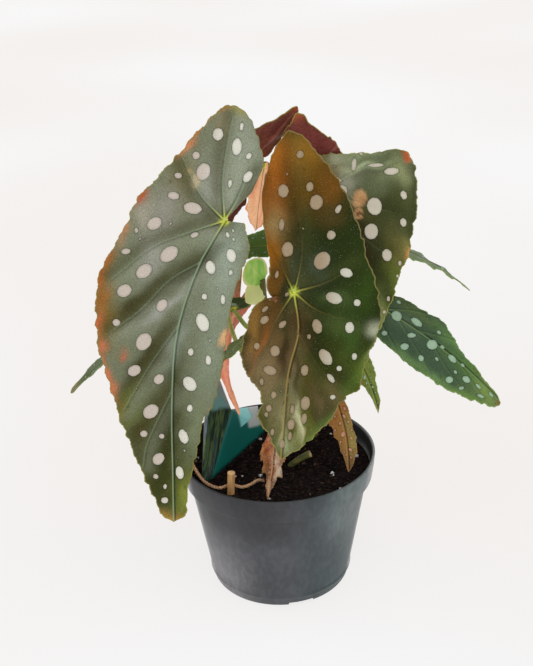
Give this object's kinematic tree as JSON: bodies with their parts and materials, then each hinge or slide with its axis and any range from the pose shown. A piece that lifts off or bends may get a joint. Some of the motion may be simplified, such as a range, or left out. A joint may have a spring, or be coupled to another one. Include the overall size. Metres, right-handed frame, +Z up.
{
  "type": "potted polka dot begonia",
  "caption": "Cane begonia with large drooping white-spotted angel-wing leaves, planted in a dark plastic nursery pot with a folded plant label, a cut stake and a jute tie.",
  "frame": {"origin": "centre of the pot's base, on the surface it stands on", "axes": "+Z up along the pot's axis, -Y towards the side the big leaves face, +X to the viewer's right from that side"},
  "size_m": [0.2714, 0.1272, 0.304],
  "materials": {
    "dark_plastic": "satin",
    "potting_soil": "loose and matt",
    "green_stem": "satin",
    "spotted_leaf": "satin, with pale spots",
    "red_underside": "satin",
    "salmon_leaf": "satin",
    "ageing_leaf": "dry",
    "printed_card": "gloss laminate",
    "bamboo": "matt",
    "jute": "fibrous"
  },
  "bodies": {
    "root": {"cane_centre": "green_stem", "cane_left": "green_stem", "cane_right": "green_stem", "label": "printed_card", "leaf_back_left": "red_underside", "leaf_back_middle": "spotted_leaf", "leaf_back_right": "red_underside", "leaf_far_left": "spotted_leaf", "leaf_front": "spotted_leaf", "leaf_inner": "salmon_leaf", "leaf_left": "spotted_leaf", "leaf_low_left": "spotted_leaf", "leaf_low_right": "spotted_leaf", "leaf_orange": "ageing_leaf", "leaf_right": "spotted_leaf", "leaf_side_right": "spotted_leaf", "leaf_small_right": "spotted_leaf", "leaf_withered": "ageing_leaf", "leaf_young": "salmon_leaf", "pot": "dark_plastic", "soil": "potting_soil", "stake": "bamboo", "stem_stub": "green_stem", "tie": "jute"}
  },
  "joints": []
}
